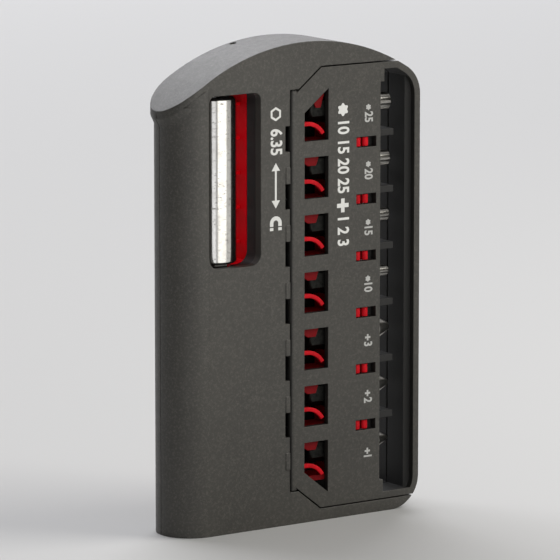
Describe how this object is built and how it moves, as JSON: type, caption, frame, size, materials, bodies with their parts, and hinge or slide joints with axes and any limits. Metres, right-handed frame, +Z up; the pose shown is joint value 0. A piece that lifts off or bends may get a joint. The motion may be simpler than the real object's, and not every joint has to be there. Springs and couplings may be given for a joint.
{
  "type": "screwdriver bit case",
  "caption": "Pocket case with an arched top: two hinged racks of hex driver bits in red combs, and a magnetic bit holder in a side window.",
  "frame": {"origin": "centre of the flat base, at the case's mid-plane", "axes": "+Z up along the case to its arched top, +X from the round spine to the rim, +Y from the front face to the back"},
  "size_m": [0.071, 0.0176, 0.118],
  "materials": {
    "case_plastic": "fine-grained moulded black plastic",
    "rack_plastic": "fine-grained moulded black plastic",
    "red_plastic": "smooth red plastic",
    "polished_steel": "polished stainless steel",
    "bit_steel": "dark phosphated steel with bright tips",
    "fastener_steel": "zinc-plated steel",
    "white_print": "white pad print",
    "magnet_nickel": "nickel-plated magnet"
  },
  "bodies": {
    "case": {"front_shell": "case_plastic", "rear_shell": "case_plastic", "case_screws": "fastener_steel", "holder_cradle": "red_plastic", "front_hinge_pin": "fastener_steel", "rear_hinge_pin": "fastener_steel"},
    "front_rack": {"front_rack_plate": "rack_plastic", "front_rack_insert": "red_plastic", "bit_star_25": "bit_steel", "bit_star_20": "bit_steel", "bit_star_15": "bit_steel", "bit_star_10": "bit_steel", "bit_cross_3": "bit_steel", "bit_cross_2": "bit_steel", "bit_cross_1": "bit_steel"},
    "rear_rack": {"rear_rack_plate": "rack_plastic", "rear_rack_insert": "red_plastic", "bit_star_30": "bit_steel", "bit_star_27": "bit_steel", "bit_star_8": "bit_steel", "bit_ribbed_cross_3": "bit_steel", "bit_ribbed_cross_2": "bit_steel", "bit_ribbed_cross_1": "bit_steel"},
    "lock": {"lock_bar": "rack_plastic", "thumb_slide": "red_plastic"},
    "bit_holder": {"holder_sleeve": "polished_steel", "holder_core": "polished_steel", "holder_magnet": "magnet_nickel", "holder_retaining_ring": "fastener_steel"}
  },
  "joints": [
    {"name": "front_rack_hinge", "type": "hinge", "parent": "case", "child": "front_rack", "pos_m": [-0.0014, -0.0074, 0.0573], "axis": [0, 0, -1], "range_deg": [0, 95]},
    {"name": "rear_rack_hinge", "type": "hinge", "parent": "case", "child": "rear_rack", "pos_m": [-0.0014, 0.0074, 0.0573], "axis": [0, 0, 1], "range_deg": [0, 95]},
    {"name": "lock_slide", "type": "slide", "parent": "case", "child": "lock", "axis": [0, 0, 1], "range_m": [0, 0.0035]},
    {"name": "holder_out", "type": "slide", "parent": "case", "child": "bit_holder", "axis": [0, 1, 0], "range_m": [0, 0.018]}
  ]
}
